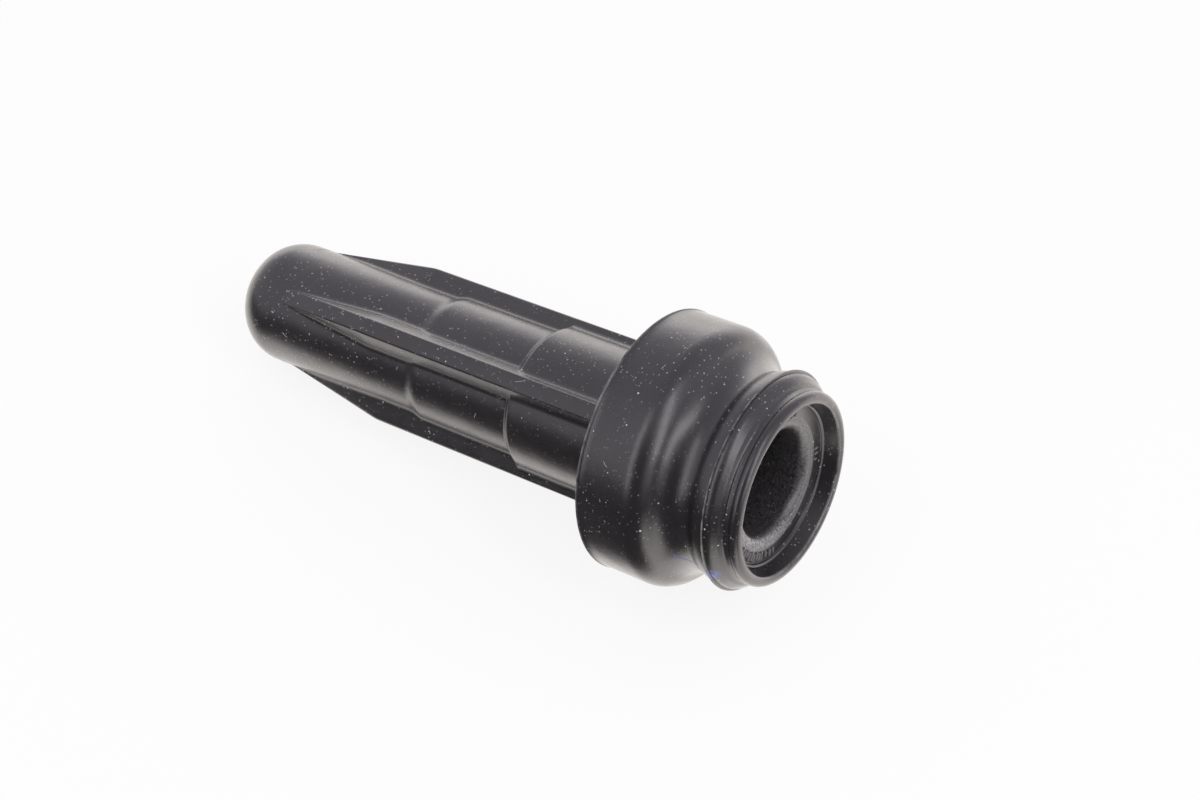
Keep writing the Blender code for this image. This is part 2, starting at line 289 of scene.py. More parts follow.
class CollarSizes(bpy.types.PropertyGroup):
    """Sizes of the skirt, shoulder, neck and ring."""

    rim_radius: length("Rim radius", "Radius of the skirt", 18.5)
    rim_flash: length("Rim flash", "Height of the mould flash on the rim", 0.12)
    wall: length("Skirt wall", "Thickness of the skirt at its rim", 1.9)
    depth: length("Skirt depth", "Depth of the gap under the skirt", 6.8)
    skirt_corner: length("Skirt corner", "Rounding at the bottom of the gap", 0.8)
    skirt_draft: angle("Skirt draft", "Slope of the skirt's inside", 2.5)
    shoulder: length("Shoulder", "Place where the shoulder starts to bend", 7.1)
    shoulder_rounding: length("Shoulder rounding", "Radius of the shoulder's bend", 3.7)
    shoulder_turn: angle("Shoulder turn", "Angle through which the shoulder bends", 62.0)
    neck_radius: length("Neck radius", "Smallest radius of the neck", 14.25)
    neck_rounding: length("Neck rounding", "Radius of the neck's hollow before the ring", 2.4)
    ring_radius: length("Ring radius", "Radius of the ring behind the lip", 15.05)
    ring_place: length("Ring place", "Place where the ring's flash starts", 17.52)
    ring_corner: length("Ring corner", "Rounding of the ring's edge", 1.5)
    ring_slope: angle("Ring slope", "Slope of the ring's cone", 42.0)
    foot_slope: angle("Ring foot", "Steepest slope at the cone's foot", 57.0)
    foot_corner: length("Foot corner", "Rounding from the cone to its foot", 0.5)
    foot_hollow: length("Foot hollow", "Rounding from the foot to the valley", 0.5)
    valley: length("Valley rounding", "Rounding from the valley to the lip", 0.4)
    valley_length: length("Valley length", "Length of the valley's level bottom", 0.4)
    valley_radius: length("Valley radius", "Radius at the bottom of the valley", 13.45)
    flash_width: length("Flash width", "Width of the mould flash on the ring", 0.2)
    flash_height: length("Flash height", "Height of the mould flash on the ring", 0.38)


class MouthSizes(bpy.types.PropertyGroup):
    """Sizes of the lip, the recess and the bore."""

    lip_place: length("Lip place", "Place of the lip's middle along the axis", 21.047)
    lip_radius: length("Lip radius", "Radius of the lip's middle", 12.65)
    lip_rounding: length("Lip rounding", "Radius of the lip's round edge", 0.95)
    lip_turn: angle("Lip turn", "Angle from the lip's side to its inner edge", 100.0)
    lip_edge: length("Lip inner edge", "Radius of the lip's inner edge", 12.1)
    edge_drop: length("Edge drop", "Depth of the inner edge below the lip's top", 0.22)
    wall_draft: angle("Wall draft", "Slope of the recess wall", 17.0)
    recess: length("Recess depth", "Depth of the recess floor", 2.65)
    seam_width: length("Seam width", "Width of the ring at the wall's foot", 0.35)
    seam_height: length("Seam height", "Height of the ring at the wall's foot", 0.3)
    socket_radius: length("Socket radius", "Radius of the coil tower's socket", 7.46)
    socket_rounding: length("Socket rounding", "Radius of the socket's edge", 1.5)
    socket_step: length("Socket step", "Height of the fine step around the socket", 0.08)
    socket_depth: length("Socket depth", "Depth of the socket below the recess", 29.0)
    passage_radius: length("Passage radius", "Radius of the passage", 3.9)
    cone: angle("Socket cone", "Slope of the sockets' ends", 50.0)
    plug_radius: length("Plug bore radius", "Radius of the plug's socket", 5.1)
    plug_lip: length("Plug bore lip", "Radius of the plug bore's edge", 0.8)
    plug_depth: length("Plug bore depth", "Depth of the plug's socket", 37.0)


class FinishLooks(bpy.types.PropertyGroup):
    """Colours of the rubber, of what lies on it and of the floor."""

    rubber: colour("Rubber", "Colour of the moulded rubber", (0.0095, 0.0085, 0.0105))
    dust: colour("Dust", "Colour of dust and lint", (0.62, 0.61, 0.60))
    # Ticks: light grey that is partly dust on them and partly painted highlight on their ridges
    marks: colour("Marks", "Colour of the raised ticks", (0.22, 0.22, 0.22))
    ink: colour("Pen ink", "Colour of the pen line", (0.09, 0.15, 0.55))
    floor: colour("Floor", "Colour of the studio floor", (0.92, 0.92, 0.92))


class CapSettings(bpy.types.PropertyGroup):
    """All sizes and colours of the cap."""

    tube: bpy.props.PointerProperty(type=TubeSizes, name="Tube", description="Ribbed tube")
    collar: bpy.props.PointerProperty(type=CollarSizes, name="Collar", description="Collar")
    mouth: bpy.props.PointerProperty(type=MouthSizes, name="Mouth", description="Mouth and bore")
    looks: bpy.props.PointerProperty(type=FinishLooks, name="Looks", description="Finishes")


def eased(share):
    """Smooth rise from 0 to 1 with level ends: 6 t^5 - 15 t^4 + 10 t^3."""
    t = np.clip(share, 0.0, 1.0)
    return t ** 3 * (t * (6 * t - 15) + 10)


def stretch(start, end, count):
    """Evenly spaced values without the last one, where the next stretch starts."""
    return np.linspace(start, end, count, endpoint=False)


def arc(centre_x, centre_radius, rounding, start, end, count):
    """Profile of a circle: x = cx + q cos t and r = cr + q sin t, t from start to end."""
    t = stretch(start, end, count)
    return np.stack([centre_x + rounding * np.cos(t), centre_radius + rounding * np.sin(t)])


def line(start, end, count):
    """Straight profile between two places (x, r)."""
    return np.stack([stretch(a, b, count) for a, b in zip(start, end)])


def quarter(start, run, rise, count):
    """Quarter ellipse that leaves along the axis: x = x0 + L sin t, r = r0 + H (1 - cos t)."""
    t = stretch(0.0, UPRIGHT, count)
    return np.stack([start[0] + run * np.sin(t), start[1] + rise * (1 - np.cos(t))])


def plug_end(tube, mouth):
    """Centre of the plug end's edge arc, and the angle where it meets the bore's lip."""
    centre_radius = tube.first_radius - tube.end_rounding
    reach = mouth.plug_radius + mouth.plug_lip - centre_radius
    lip_angle = math.asin(reach / tube.end_rounding)
    return -tube.reach + tube.end_rounding * math.cos(lip_angle), centre_radius, lip_angle


def rest_tilt(tube, collar, mouth):
    """Angle of the line that touches the rim and the plug end's edge, on which the cap lies."""
    centre_x, centre_radius, _ = plug_end(tube, mouth)
    rise = collar.rim_radius + collar.rim_flash - centre_radius
    return math.atan2(rise, -centre_x) - math.asin(
        tube.end_rounding / math.hypot(rise, centre_x))


def tube_places(tube, collar):
    """Places of the tube's sections along the axis, closest where its shape bends."""
    bend = tube.rib_bend
    ramp_end = tube.rib_start + tube.rib_ramp
    first_end = tube.first_step + tube.first_step_length
    second_end = tube.second_step + tube.second_step_length
    nose = tube.rib_start + tube.rib_nose
    stops = (tube.rib_start - 4 * bend, tube.rib_start - bend, nose, nose + 2 * tube.rib_nose,
             ramp_end - bend, ramp_end + bend, tube.first_step, first_end, tube.second_step,
             second_end)
    last = np.linspace(second_end, collar.depth, TUBE_POINTS[-1])
    return np.concatenate([*map(stretch, stops, stops[1:], TUBE_POINTS), last])


def core_radius(tube, x):
    """Radius of the tube's core: three stages joined by two eased steps."""
    first = eased((x - tube.first_step) / tube.first_step_length)
    second = eased((x - tube.second_step) / tube.second_step_length)
    return (tube.first_radius + (tube.second_radius - tube.first_radius) * first
            + (tube.third_radius - tube.second_radius) * second)


def rib_height(tube, x):
    """Height of the ribs over the core.

    A rib's top is a ramp, then level. Each of its two bends is a parabola that is as long
    to each side as the rib bend: ramp (x - x0 + b)^2 / 4b at the start, and the same
    turned over at the end.
    """
    bend = tube.rib_bend
    slope = (tube.rib_circle - tube.first_radius) / tube.rib_ramp
    from_start = x - tube.rib_start
    rise = np.where(from_start < bend,
                    slope * np.clip(from_start + bend, 0.0, None) ** 2 / (4 * bend),
                    slope * from_start)
    to_end = tube.rib_ramp - from_start
    below = np.where(to_end < bend,
                     slope * np.clip(to_end + bend, 0.0, None) ** 2 / (4 * bend),
                     slope * to_end)
    ramp = np.where(from_start < tube.rib_ramp / 2,
                    rise, tube.rib_circle - tube.first_radius - below)
    return np.minimum(tube.first_radius + ramp, tube.rib_circle) - np.where(
        x < tube.first_step, tube.first_radius, core_radius(tube, x))


def rib_half_section(tube, core, height, nose, fillet):
    """Angle and radius of the section from a rib's middle to halfway to the next rib.

    Drawn with the sideways offset s and the height v over the core: level top, round corner,
    drafted flank, hollow fillet, then the round core. A point's radius is the core's plus v,
    and its angle is the arc sine of s over that radius. At the nose the rib is narrower.
    """
    core, height, nose, fillet = (part[:, None] for part in (core, height, nose, fillet))
    top_count, corner_count, flank_count, fillet_count, core_count = HALF_POINTS
    corner = np.minimum(tube.rib_corner, CORNER_SHARE * height)
    fillet = np.minimum(fillet, FILLET_SHARE * height)
    draft = tube.rib_draft
    tangent = math.tan((UPRIGHT - draft) / 2)
    half_top = tube.rib_width / 2 * nose
    corner_s = half_top - corner * tangent
    fillet_s = half_top + height * math.tan(draft) + fillet * tangent

    turn = stretch(UPRIGHT, draft, corner_count)
    hollow = stretch(math.pi + draft, 1.5 * math.pi, fillet_count)
    down = stretch(0.0, 1.0, flank_count)
    corner_end = (corner_s + corner * math.cos(draft), height - corner * (1 - math.sin(draft)))
    fillet_start = (fillet_s - fillet * math.cos(draft), fillet * (1 - math.sin(draft)))

    level = stretch(0.0, 1.0, top_count)
    s = np.concatenate([
        corner_s * level,
        corner_s + corner * np.cos(turn),
        corner_end[0] + (fillet_start[0] - corner_end[0]) * down,
        fillet_s + fillet * np.cos(hollow),
    ], axis=1)
    v = np.concatenate([
        height + 0.0 * level,
        height - corner * (1 - np.sin(turn)),
        corner_end[1] + (fillet_start[1] - corner_end[1]) * down,
        fillet * (1 + np.sin(hollow)),
    ], axis=1)
    radius = core + v
    turned = np.arcsin(s / radius)
    foot = np.arcsin(fillet_s / core)
    spread = np.linspace(0.0, 1.0, core_count)
    turned = np.concatenate([turned, foot + (HALF_SHARE - foot) * spread], axis=1)
    return turned, np.concatenate([radius, core + 0.0 * spread], axis=1)


def whole_turn(tube, half_angle, half_radius):
    """Mirror half a rib's share about the rib's middle and repeat it for every rib."""
    angles = np.concatenate([-half_angle[:, -2:0:-1], half_angle], axis=1)
    radii = np.concatenate([half_radius[:, -2:0:-1], half_radius], axis=1)
    middles = tube.rib_turn + HALF_SHARE * (2 * np.arange(RIB_COUNT) + 1)
    angles = (middles[None, :, None] + angles[:, None, :]).reshape(len(angles), -1)
    return angles, np.tile(radii, (1, RIB_COUNT))


def round_turn(tube, radius):
    """Sections that are plain circles, with their points spaced evenly."""
    half = np.linspace(0.0, HALF_SHARE, sum(HALF_POINTS))
    half = np.tile(half, (len(radius), 1))
    return whole_turn(tube, half, radius[:, None] + 0.0 * half)


def tube_grid(tube, collar):
    """Place, angle and radius of the tube's skin."""
    x = tube_places(tube, collar)
    core = core_radius(tube, x)
    height = rib_height(tube, x)
    from_tip = np.clip((x - tube.rib_start + tube.rib_bend) / tube.rib_nose, 0.0, 1.0)
    nose = np.maximum(np.sqrt(1.0 - (1.0 - from_tip) ** 2), TIP_WIDTH)
    grown = eased((x - tube.second_step) / tube.second_step_length)
    fillet = tube.rib_fillet + (tube.third_fillet - tube.rib_fillet) * grown
    half_angle, half_radius = rib_half_section(tube, core, height, nose, fillet)
    even = np.linspace(0.0, HALF_SHARE, half_angle.shape[1])
    ribbed = eased((x - x[0]) / (tube.rib_start - x[0]))[:, None]
    angles, radii = whole_turn(tube, even + (half_angle - even) * ribbed, half_radius)
    return x[:, None] + 0.0 * angles, angles, radii


def skirt_profile(collar):
    """Skirt from the floor of its gap to the edge of its outside.

    The inside is a straight wall with a round corner at the floor. The rim carries a thin
    flash, and beside it a groove and a second flash.
    """
    inner_rim = collar.rim_radius - collar.wall
    inner_floor = inner_rim - collar.depth * math.tan(collar.skirt_draft)
    corner = collar.skirt_corner
    flash = collar.rim_flash
    edge = collar.rim_radius
    low = edge - GROOVE_DEPTH * flash
    second_top = (SECOND_TOP * flash, edge + SECOND_HEIGHT * flash)
    return np.concatenate([
        line((collar.depth, SKIRT_FLOOR_START), (collar.depth, inner_floor - corner), 5),
        arc(collar.depth - corner, inner_floor - corner, corner, 0.0, UPRIGHT, 7),
        line((collar.depth - corner, inner_floor), (flash, inner_rim), 5),
        line((flash, inner_rim), (0.0, inner_rim + flash), 2),
        line((0.0, inner_rim + flash), (0.0, edge), 4),
        arc(flash, edge, flash, math.pi, UPRIGHT, 5),
        quarter((flash, edge + flash), (GROOVE_START - 1) * flash, low - edge - flash, 5),
        line((SECOND_START * flash, low), second_top, 3),
        line(second_top, (SECOND_END * flash, edge), 4),
    ], axis=1)


def valley_place(collar, mouth):
    """Place where the valley's arc starts and the slope at which it runs into the lip's."""
    reach = collar.valley + mouth.lip_rounding
    rise = collar.valley_radius + collar.valley - mouth.lip_radius
    return mouth.lip_place - math.sqrt(reach ** 2 - rise ** 2), math.acos(rise / reach)


def ring_side(collar, side, valley_start):
    """Lengths of the ring's cone and of the steeper fall at its foot.

    They close the path from the ring's corner to the hollow: cone cos s + fall cos f is the
    run that is left, and cone sin s + fall sin f is the drop that is left.
    """
    slope, foot = collar.ring_slope, collar.foot_slope
    corner, bend = collar.ring_corner, collar.foot_corner
    run = (valley_start[0] - side - corner * math.sin(slope)
           - bend * (math.sin(foot) - math.sin(slope)))
    drop = (collar.ring_radius - valley_start[1] - corner * (1 - math.cos(slope))
            - bend * (math.cos(slope) - math.cos(foot)))
    cone = (run * math.sin(foot) - drop * math.cos(foot)) / math.sin(foot - slope)
    fall = (drop * math.cos(slope) - run * math.sin(slope)) / math.sin(foot - slope)
    return cone, fall


def collar_profile(collar, mouth):
    """Outside of the collar: skirt, shoulder, neck, ring with its flash, and the hollow.

    The neck's hollow arc follows the shoulder's arc to its lowest point. A tighter hollow and
    a round arc of the same slope then take it up to the ring. Behind the flash come a round
    corner, a cone, its steeper foot and the valley before the lip.
    """
    turn = collar.shoulder_turn
    shoulder_radius = collar.rim_radius - collar.shoulder_rounding
    turned = UPRIGHT - turn
    ring, ring_radius = collar.ring_place, collar.ring_radius
    drop = collar.shoulder_rounding * (1 - math.cos(turn))
    hollow = (collar.rim_radius - drop - collar.neck_radius) / (1 - math.cos(turn))
    neck = collar.shoulder + (collar.shoulder_rounding + hollow) * math.sin(turn)
    climb = 2 * math.atan2(ring_radius - collar.neck_radius, ring - neck)
    tight = collar.neck_rounding
    round_up = (ring - neck) / math.sin(climb) - tight

    fin = ring_radius + collar.flash_height
    fin_start, fin_end = (ring + share * collar.flash_width for share in FLASH_TOP)
    side = ring + collar.flash_width
    slope, foot = collar.ring_slope, collar.foot_slope
    corner, bend, valley = collar.ring_corner, collar.foot_corner, collar.valley
    bottom, lip_slope = valley_place(collar, mouth)
    low, level_start = collar.valley_radius, bottom - collar.valley_length
    foot_hollow = collar.foot_hollow
    foot_end = (level_start - foot_hollow * math.sin(foot),
                low + foot_hollow * (1 - math.cos(foot)))
    cone, fall = ring_side(collar, side, foot_end)
    foot_start = (foot_end[0] - fall * math.cos(foot), foot_end[1] + fall * math.sin(foot))
    cone_start = (side + corner * math.sin(slope),
                  ring_radius - corner * (1 - math.cos(slope)))
    cone_end = (cone_start[0] + cone * math.cos(slope), cone_start[1] - cone * math.sin(slope))
    return np.concatenate([
        line((SECOND_END * collar.rim_flash, collar.rim_radius),
             (collar.shoulder, collar.rim_radius), 8),
        arc(collar.shoulder, shoulder_radius, collar.shoulder_rounding, UPRIGHT, turned, 18),
        arc(neck, collar.neck_radius + hollow, hollow, -UPRIGHT - turn, -UPRIGHT, 16),
        arc(neck, collar.neck_radius + tight, tight, -UPRIGHT, climb - UPRIGHT, 9),
        arc(ring, ring_radius - round_up, round_up, UPRIGHT + climb, UPRIGHT, 9),
        line((ring, ring_radius), (fin_start, fin), 4),
        line((fin_start, fin), (fin_end, fin), 3),
        line((fin_end, fin), (side, ring_radius), 4),
        arc(side, ring_radius - corner, corner, UPRIGHT, UPRIGHT - slope, 9),
        line(cone_start, cone_end, 4),
        arc(cone_end[0] - bend * math.sin(slope), cone_end[1] - bend * math.cos(slope), bend,
            UPRIGHT - slope, UPRIGHT - foot, 4),
        line(foot_start, foot_end, 2),
        arc(level_start, low + foot_hollow, foot_hollow, -UPRIGHT - foot, -UPRIGHT, 8),
        line((level_start, low), (bottom, low), 3),
        arc(bottom, low + valley, valley, -UPRIGHT, lip_slope - UPRIGHT, 6),
    ], axis=1)


def recess_floor(mouth):
    """Place of the recess floor along the axis."""
    return mouth.lip_place + mouth.lip_rounding - mouth.recess


def mouth_profile(collar, mouth):
    """Lip, recess wall, seam ring, flat floor and the socket's rounded edge."""
    lip, floor = mouth.lip_place, recess_floor(mouth)
    leave = UPRIGHT + valley_place(collar, mouth)[1]
    wall_top = lip + mouth.lip_rounding - mouth.edge_drop
    wall_foot = floor + mouth.seam_height
    foot_radius = mouth.lip_edge - (wall_top - wall_foot) * math.tan(mouth.wall_draft)
    seam = mouth.seam_width
    half_seam = 0.5 * seam
    seam_foot = foot_radius - SEAM_FOOT * seam
    rounding, step = mouth.socket_rounding, mouth.socket_step
    edge = mouth.socket_radius + rounding
    dip = math.acos(1 - STEP_FOOT * step / rounding)
    step_foot = (floor - rounding * (1 - math.cos(dip)), edge - rounding * math.sin(dip))
    crown_end = UPRIGHT - mouth.lip_turn
    last = (lip + mouth.lip_rounding * math.cos(crown_end),
            mouth.lip_radius + mouth.lip_rounding * math.sin(crown_end))
    return np.concatenate([
        arc(lip, mouth.lip_radius, mouth.lip_rounding, leave, crown_end, 22),
        line(last, (wall_top, mouth.lip_edge), 4),
        line((wall_top, mouth.lip_edge), (wall_foot, foot_radius), 7),
        arc(wall_foot, foot_radius - half_seam, half_seam, UPRIGHT, 0.0, 2),
        arc(wall_foot - half_seam, foot_radius - half_seam, half_seam, 0.0, -UPRIGHT, 5),
        line((wall_foot - half_seam, foot_radius - seam), (floor, seam_foot), 3),
        line((floor, seam_foot), (floor, edge + 2 * step), 6),
        line((floor, edge + 2 * step), (floor - step, edge + step), 2),
        line((floor - step, edge + step), step_foot, 2),
        arc(floor - rounding, edge, rounding, -dip, -UPRIGHT, 14),
    ], axis=1)


def bore_profile(tube, mouth):
    """Socket, passage, plug's socket and its lip, then the domed plug end out to the tube."""
    floor = recess_floor(mouth)
    cone = math.tan(mouth.cone)
    socket = floor - mouth.socket_depth
    passage = socket - (mouth.socket_radius - mouth.passage_radius) / cone
    plug = -tube.reach + mouth.plug_depth
    passage_end = plug + (mouth.plug_radius - mouth.passage_radius) / cone
    lip = mouth.plug_lip
    lip_x = -tube.reach + lip
    centre_x, centre_radius, lip_angle = plug_end(tube, mouth)
    return np.concatenate([
        line((floor - mouth.socket_rounding, mouth.socket_radius),
             (socket, mouth.socket_radius), 10),
        line((socket, mouth.socket_radius), (passage, mouth.passage_radius), 4),
        line((passage, mouth.passage_radius), (passage_end, mouth.passage_radius), 5),
        line((passage_end, mouth.passage_radius), (plug, mouth.plug_radius), 3),
        line((plug, mouth.plug_radius), (lip_x, mouth.plug_radius), 9),
        arc(lip_x, mouth.plug_radius + lip, lip, -UPRIGHT, -math.pi, 8),
        arc(centre_x, centre_radius, tube.end_rounding, math.pi - lip_angle, UPRIGHT, 26),
    ], axis=1)


def skin_grid(tube, collar, mouth):
    """Place, angle and radius of every point of the closed skin, one row per section."""
    x, angles, radii = tube_grid(tube, collar)
    turned = np.concatenate([
        skirt_profile(collar), collar_profile(collar, mouth), mouth_profile(collar, mouth),
        bore_profile(tube, mouth),
    ], axis=1)
    round_angles, round_radii = round_turn(tube, turned[1])
    round_x = turned[0][:, None] + 0.0 * round_angles
    return (np.concatenate([x, round_x]), np.concatenate([angles, round_angles]),
            np.concatenate([radii, round_radii]))


def in_axis_frame(x, angles, radii):
    """Points from place, angle and radius: y is r sin a and z is r cos a."""
    return np.stack([x, radii * np.sin(angles), radii * np.cos(angles)], axis=-1)


def laid_down(settings, points):
    """Points turned down by the rest tilt: x cos t - z sin t, and x sin t + z cos t."""
    tilt = rest_tilt(settings.tube, settings.collar, settings.mouth)
    x = points[..., 0] * math.cos(tilt) - points[..., 2] * math.sin(tilt)
    z = points[..., 0] * math.sin(tilt) + points[..., 2] * math.cos(tilt)
    return np.stack([x, points[..., 1], z], axis=-1)


def rest_shift(settings):
    """Move that puts the middle of the skin's box over the CAD box's, and its foot on it."""
    grid = in_axis_frame(*skin_grid(settings.tube, settings.collar, settings.mouth))
    points = laid_down(settings, grid).reshape(-1, 3)
    low, high = points.min(axis=0), points.max(axis=0)
    cad_low, cad_high = (np.array(corner) for corner in CAD_BOX)
    shift = (cad_low + cad_high - low - high) / 2
    shift[2] = cad_low[2] - low[2]
    return shift


def at_rest(settings, points):
    """Points of the cap's own axis frame, where they are when the cap lies at rest."""
    return laid_down(settings, points) + rest_shift(settings)


def grid_mesh(name, points, around_rows):
    """Mesh of quads over grids whose columns close, and whose rows close where asked."""
    rows, columns = points.shape[-3:-1]
    count = points.size // 3
    index = np.arange(count).reshape(-1, rows, columns)
    following = np.roll(index, -1, axis=1)
    quads = np.stack(
        [index, following, np.roll(following, -1, axis=2), np.roll(index, -1, axis=2)], axis=-1)
    if not around_rows:
        quads = quads[:, :-1]
    quads = quads.reshape(-1, 4)
    mesh = bpy.data.meshes.new(name)
    mesh.vertices.add(count)
    mesh.vertices.foreach_set("co", points.astype(np.float32).ravel())
    mesh.loops.add(quads.size)
    mesh.loops.foreach_set("vertex_index", quads.astype(np.int32).ravel())
    mesh.polygons.add(len(quads))
    mesh.polygons.foreach_set("loop_start", np.arange(0, quads.size, 4, dtype=np.int32))
    mesh.update(calc_edges=True)
    return mesh


def strands(name, paths, normals, size):
    """Rods laid along paths, drawn in to a point at both ends.

    Their section is an ellipse about the path whose half axes w and h are the size in
    millimetres: p + w q cos t side + h q sin t normal, where q = sqrt(1 - (2 s - 1)^8) for
    the share s of the way along.
    """
    half_width, height = (part * MM for part in size)
    share = np.linspace(-1.0, 1.0, paths.shape[1])
    taper = np.sqrt(1.0 - share ** 8)[None, :, None]
    forward = np.gradient(paths, axis=1)
    side = np.cross(forward, normals)
    side /= np.linalg.norm(side, axis=-1, keepdims=True)
    turn = stretch(0.0, 2 * math.pi, STRAND_SIDES)
    wide = (half_width * taper * np.cos(turn))[..., None]
    high = (height * taper * np.sin(turn))[..., None]
    points = paths[:, :, None] + wide * side[:, :, None] + high * normals[:, :, None]
    return outward(grid_mesh(name, points, around_rows=False))


def drawn_through(places, count):
    """Evenly spaced places on the straight pieces that join a few given ones."""
    share, given = np.linspace(0.0, 1.0, count), np.linspace(0.0, 1.0, len(places))
    return (np.interp(share, given, part)[None] for part in zip(*places))


def on_collar(settings, x, angles):
    """Points and normals on the outside of the collar at places and angles."""
    profile = collar_profile(settings.collar, settings.mouth)
    radii = np.interp(x, profile[0], profile[1])
    step = 0.1 * MM
    slope = (np.interp(x + step, profile[0], profile[1])
             - np.interp(x - step, profile[0], profile[1])) / (2 * step)
    return rest_points(settings, x, angles, radii, slope)


def rest_points(settings, x, angles, radii, slope):
    """Points where the cap lies at rest, and normals of a skin whose radius has this slope."""
    points = at_rest(settings, in_axis_frame(x, angles, radii))
    normals = np.stack([-slope + 0.0 * x, np.sin(angles), np.cos(angles)], axis=-1)
    normals = laid_down(settings, normals / np.linalg.norm(normals, axis=-1, keepdims=True))
    return points, normals


def outward(mesh):
    """Merge closed poles and turn the faces outwards."""
    bm = bmesh.new()
    bm.from_mesh(mesh)
    bmesh.ops.remove_doubles(bm, verts=bm.verts, dist=MERGE_DISTANCE)
    bmesh.ops.recalc_face_normals(bm, faces=bm.faces)
    bm.to_mesh(mesh)
    bm.free()
    return mesh


def keep_on_points(mesh, name, values):
    """Keep a vector or a number for every point as the mesh's attribute of this name."""
    kind, field = ('FLOAT_VECTOR', "vector") if values.ndim == 3 else ('FLOAT', "value")
    mesh.attributes.new(name, kind, 'POINT').data.foreach_set(
        field, values.astype(np.float32).ravel())


def show(mesh, material):
    """Put a finished mesh in the scene as a piece of the cap."""
    mesh.shade_smooth()
    mesh.materials.append(material)
    piece = bpy.data.objects.new(mesh.name, mesh)
    bpy.context.scene.collection.objects.link(piece)
    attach(piece, BODY)
    return piece


class NodeDesk:
    """Short calls that add and join the nodes of one tree."""

    def __init__(self, tree):
        self.tree = tree
        tree.nodes.clear()

    def add(self, kind, inputs=None, **settings):
        """A node with its settings; an input is a number, a colour or another socket."""
        node = self.tree.nodes.new(kind)
        for name, value in settings.items():
            setattr(node, name, value)
        for name, value in (inputs or {}).items():
            if isinstance(value, bpy.types.NodeSocket):
                self.tree.links.new(value, node.inputs[name])
            else:
                node.inputs[name].default_value = value
        return node

    def math(self, operation, *values, clamp=False):
        """Result of one Math node."""
        return self.add('ShaderNodeMath', dict(enumerate(values)),
                        operation=operation, use_clamp=clamp).outputs[0]

    def product(self, first, *others):
        """All the values multiplied."""
        for other in others:
            first = self.math('MULTIPLY', first, other)
        return first

    def greatest(self, first, *others):
        """The greatest of the values."""
        for other in others:
            first = self.math('MAXIMUM', first, other)
        return first

    def mix(self, share, first, second):
        """Two colours mixed by a share; they are inputs 6 and 7 of the Mix node."""
        return self.add('ShaderNodeMix', {'Factor': share, 6: first, 7: second},
                        data_type='RGBA').outputs[2]

    def blend(self, share, first, second):
        """Two values mixed by a share."""
        return self.add('ShaderNodeMix', {
            'Factor': share, 'A': first, 'B': second}).outputs[0]

    def noise(self, vector, scale, detail=2.0, roughness=0.5):
        """Value of a noise texture."""
        return self.add('ShaderNodeTexNoise', {
            'Vector': vector, 'Scale': scale, 'Detail': detail, 'Roughness': roughness,
        }).outputs[0]

    def between(self, value, low, high):
        """0 at the low value, 1 at the high one, and eased between them."""
        return self.add('ShaderNodeMapRange', {
            'Value': value, 'From Min': low, 'From Max': high,
        }, interpolation_type='SMOOTHSTEP').outputs[0]

    def pattern(self, name, vector):
        """One of the rubber's cloudy patterns, from 0 to 1."""
        scale, detail, roughness, start, full = PATTERNS[name]
        return self.between(self.noise(vector, scale, detail, roughness), start, full)

    def bump(self, height, distance, normal=None):
        """Relief of a height in metres, on top of the relief that a normal already has."""
        inputs = {'Strength': 1.0, 'Distance': distance, 'Height': height}
        if normal is not None:
            inputs['Normal'] = normal
        return self.add('ShaderNodeBump', inputs).outputs[0]

    def principled(self, **inputs):
        """End the material with a Principled shader; _ in an input's name is a space."""
        named = {name.replace("_", " "): value for name, value in inputs.items()}
        shader = self.add('ShaderNodeBsdfPrincipled', named)
        self.add('ShaderNodeOutputMaterial', {'Surface': shader.outputs[0]})


def specks(desk, vector, scale, largest, soft):
    """Mask of dust specks: near a random point of a cell, as far as that cell's own size.

    The size is the cube of the cell's random number times the largest, so most are small.
    """
    cells = desk.add('ShaderNodeTexVoronoi', {'Vector': vector, 'Scale': scale},
                     voronoi_dimensions='3D')
    chance = desk.add('ShaderNodeSeparateColor', {'Color': cells.outputs['Color']}).outputs[0]
    size = desk.product(desk.math('POWER', chance, 3.0), largest)
    inside = desk.math('SUBTRACT', size, cells.outputs['Distance'])
    return desk.math('DIVIDE', inside, soft, clamp=True)


def new_material(name):
    """A material with an empty node tree, the desk for it and its Object coordinates."""
    material = bpy.data.materials.new(name)
    material.use_nodes = True
    desk = NodeDesk(material.node_tree)
    return material, desk, desk.add('ShaderNodeTexCoord').outputs['Object']


def dust_layers(desk, place):
    """Specks of three sizes, and the thin film that is thickest where the specks are."""
    across = desk.add('ShaderNodeSeparateXYZ', {0: place}).outputs['X']
    dusted = desk.math('MULTIPLY_ADD', desk.pattern("patch", place), DUST_PATCHES, DUST_BASE)
    at_end = desk.product(desk.between(across, *DUSTY_END), DUST_END)
    dusted = desk.math('ADD', dusted, at_end, clamp=True)
    finest, fine, coarse = (specks(desk, place, *size) for size in SPECKS.values())
    finest = desk.product(finest, dusted, COVER["finest"])
    dots = desk.greatest(finest, desk.product(fine, COVER["fine"]), coarse)
    film = desk.product(desk.pattern("film", place), dusted, COVER["film"])
    return desk.product(dots, COVER["dots"]), film


def rubber_relief(desk, place, wrap, dots, powdery):
    """Mould grain, ripples, waves, fine lines around the cap, and the height of the dust."""
    turned = desk.add('ShaderNodeMapping', {'Vector': wrap, 'Scale': LINES_SCALE}).outputs[0]
    layers = [(desk.noise(place, *noise), height) for *noise, height in RELIEF]
    layers += [(desk.noise(turned, 1.0), LINES_HEIGHT), (dots, DOTS_HEIGHT),
               (powdery, POWDER_HEIGHT)]
    relief = None
    for height, distance in layers:
        relief = desk.bump(height, distance * MM, relief)
    return relief


